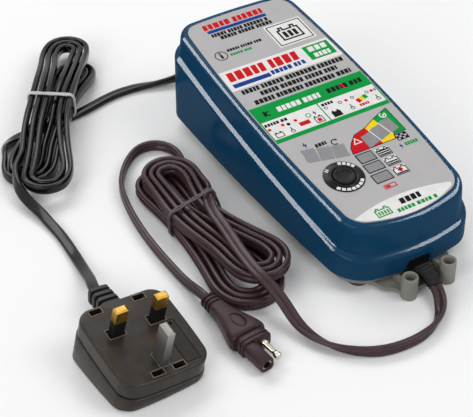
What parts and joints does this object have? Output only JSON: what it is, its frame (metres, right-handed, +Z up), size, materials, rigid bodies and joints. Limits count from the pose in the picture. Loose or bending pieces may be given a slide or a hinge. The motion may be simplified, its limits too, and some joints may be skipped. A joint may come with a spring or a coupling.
{
  "type": "motorcycle battery charger",
  "caption": "Wedge-shaped battery charger with gloss cover, grey base, indicator label and press button, a tied mains lead with a fused plug and a tied battery lead with a polarised connector.",
  "frame": {"origin": "on the floor under the middle of the charger's case, leads left out", "axes": "+Y along the case towards the mains lead, +X to the right seen from the battery lead's end, +Z up"},
  "size_m": [0.2204, 0.3219, 0.0633],
  "materials": {
    "cover_gloss": "deep blue, polished",
    "base_grey": "warm grey, satin",
    "label_film": "printed film with coloured bars and plain icons",
    "window_film": "smoky clear film",
    "black_trim": "black, fine grain",
    "foot_rubber": "soft grey rubber",
    "screw_steel": "zinc plated",
    "board_green": "solder mask",
    "fuse_ceramic": "ceramic tube with metal caps",
    "ferrite": "sintered ferrite",
    "winding": "enamelled wire under yellow tape",
    "part_yellow": "moulded box",
    "part_black": "moulded package",
    "can_blue": "sleeved can",
    "relay_blue": "moulded box",
    "sink_alu": "plain plate",
    "led_clear": "clear lens",
    "link_cream": "pin strip",
    "gland_black": "moulded flexible sleeve",
    "wire_red": "insulated wire",
    "mains_jacket": "glossy black sheath",
    "battery_jacket": "brown black twin sheath with a groove",
    "tie_light": "thin coated wire",
    "tie_dark": "thin coated wire",
    "plug_black": "moulded, fine grain",
    "pin_brass": "turned brass",
    "pin_sleeve": "insulating sleeve",
    "pin_grey": "plated",
    "carrier_brown": "moulded",
    "contact": "plated contact"
  },
  "bodies": {
    "charger": {"top_cover": "cover_gloss", "base_tray": "base_grey", "label_overlay": "label_film", "indicator_windows": "window_film", "button_bezel": "black_trim", "rubber_feet": "foot_rubber", "case_screws": "screw_steel", "main_board": "board_green", "board_screws": "screw_steel", "input_fuse": "fuse_ceramic", "line_choke": "ferrite", "x_capacitor": "part_yellow", "bridge_rectifier": "part_black", "bulk_capacitor": "can_blue", "transformer_core": "ferrite", "transformer_winding": "winding", "switch_heatsink": "sink_alu", "power_transistors": "part_black", "output_heatsink": "sink_alu", "output_diode": "part_black", "output_choke": "winding", "output_capacitors": "can_blue", "output_relay": "relay_blue", "controller_chip": "part_black", "display_board": "board_green", "display_link": "link_cream", "status_leds": "led_clear", "tact_switch": "part_black", "mains_gland": "gland_black", "dc_gland": "gland_black", "mains_tails": "wire_red", "dc_tails": "wire_red", "mains_lead_inner": "mains_jacket", "mains_hank": "mains_jacket", "mains_lead_outer": "mains_jacket", "mains_tie": "tie_light", "plug_base": "plug_black", "plug_cover": "plug_black", "plug_strain_relief": "gland_black", "line_pins": "pin_brass", "pin_sleeves": "pin_sleeve", "earth_pin": "pin_grey", "dc_lead_inner": "battery_jacket", "dc_hank": "battery_jacket", "dc_lead_outer": "battery_jacket", "dc_tie": "tie_dark", "connector_body": "battery_jacket", "connector_strain_relief": "battery_jacket", "connector_collar": "battery_jacket", "connector_nose": "battery_jacket", "connector_pin": "contact", "socket_terminal": "contact"},
    "button": {"tune_button": "black_trim", "switch_actuator": "black_trim"},
    "fuse_drawer": {"fuse_carrier": "carrier_brown", "plug_fuse": "fuse_ceramic"}
  },
  "joints": [
    {"name": "button_press", "type": "slide", "parent": "charger", "child": "button", "axis": [0, 0.1305, -0.9914], "range_m": [0, 0.0006], "stiffness_N_per_m": 1500, "springref_m": -0.0004},
    {"name": "fuse_carrier_slide", "type": "slide", "parent": "charger", "child": "fuse_drawer", "axis": [0.1119, -0.168, 0.9794], "range_m": [0, 0.012]}
  ]
}
